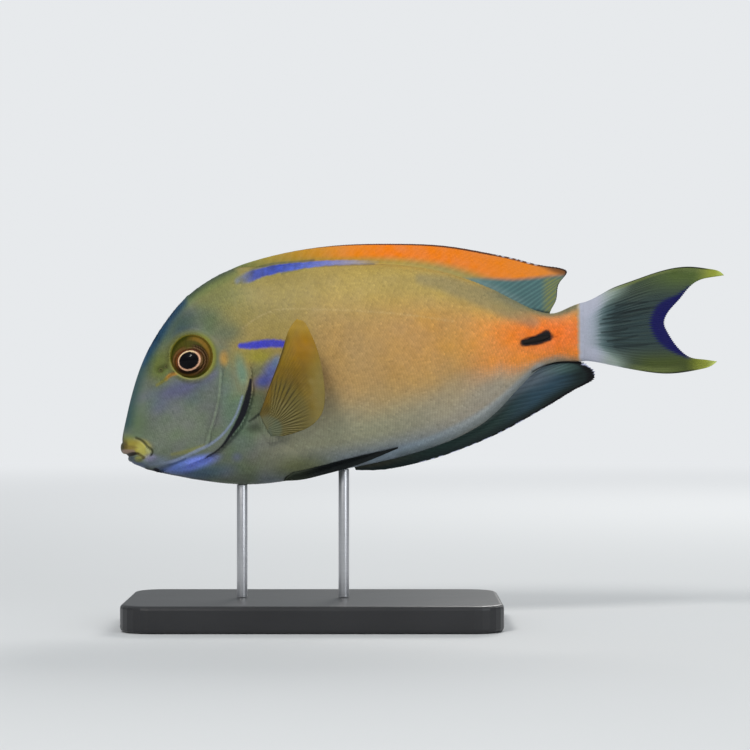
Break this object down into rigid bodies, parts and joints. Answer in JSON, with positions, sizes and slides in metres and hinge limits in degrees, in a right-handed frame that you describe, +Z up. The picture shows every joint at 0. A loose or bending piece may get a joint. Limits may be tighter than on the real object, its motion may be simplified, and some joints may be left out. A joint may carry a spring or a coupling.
{
  "type": "fowlers surgeonfish model",
  "caption": "Deep-bodied reef fish with a low dorsal fin, a crescent tail and a folded blade on each side of the tail root, held level by rods on a flat base.",
  "frame": {"origin": "centre of the underside of the whole model's box, on the surface that the stand rests on", "axes": "-X the way the fish faces, -Y its left side, +Z up"},
  "size_m": [0.1813, 0.06, 0.1141],
  "materials": {
    "head_skin": "satin, like painted resin",
    "body_skin": "satin, like painted resin",
    "tail_skin": "satin, like painted resin",
    "eye": "wet gloss",
    "dorsal": "satin",
    "dark_fin": "satin",
    "pectoral": "satin",
    "tail_fin": "satin",
    "tail_blade": "gloss",
    "stand_plate": "matte black",
    "steel": "brushed"
  },
  "bodies": {
    "root": {"head": "head_skin", "gill_cover_left": "head_skin", "gill_cover_right": "head_skin", "trunk": "body_skin", "tail_root": "tail_skin", "eye_left": "eye", "eye_right": "eye", "dorsal_fin": "dorsal", "anal_fin": "dark_fin", "pelvic_fin_left": "dark_fin", "pelvic_fin_right": "dark_fin", "pectoral_fin_left": "pectoral", "pectoral_fin_right": "pectoral", "tail_fin_upper": "tail_fin", "tail_fin_lower": "tail_fin", "tail_spine_left": "tail_blade", "tail_spine_right": "tail_blade", "stand_base": "stand_plate", "stand_rod_front": "steel", "stand_rod_rear": "steel"}
  },
  "joints": []
}
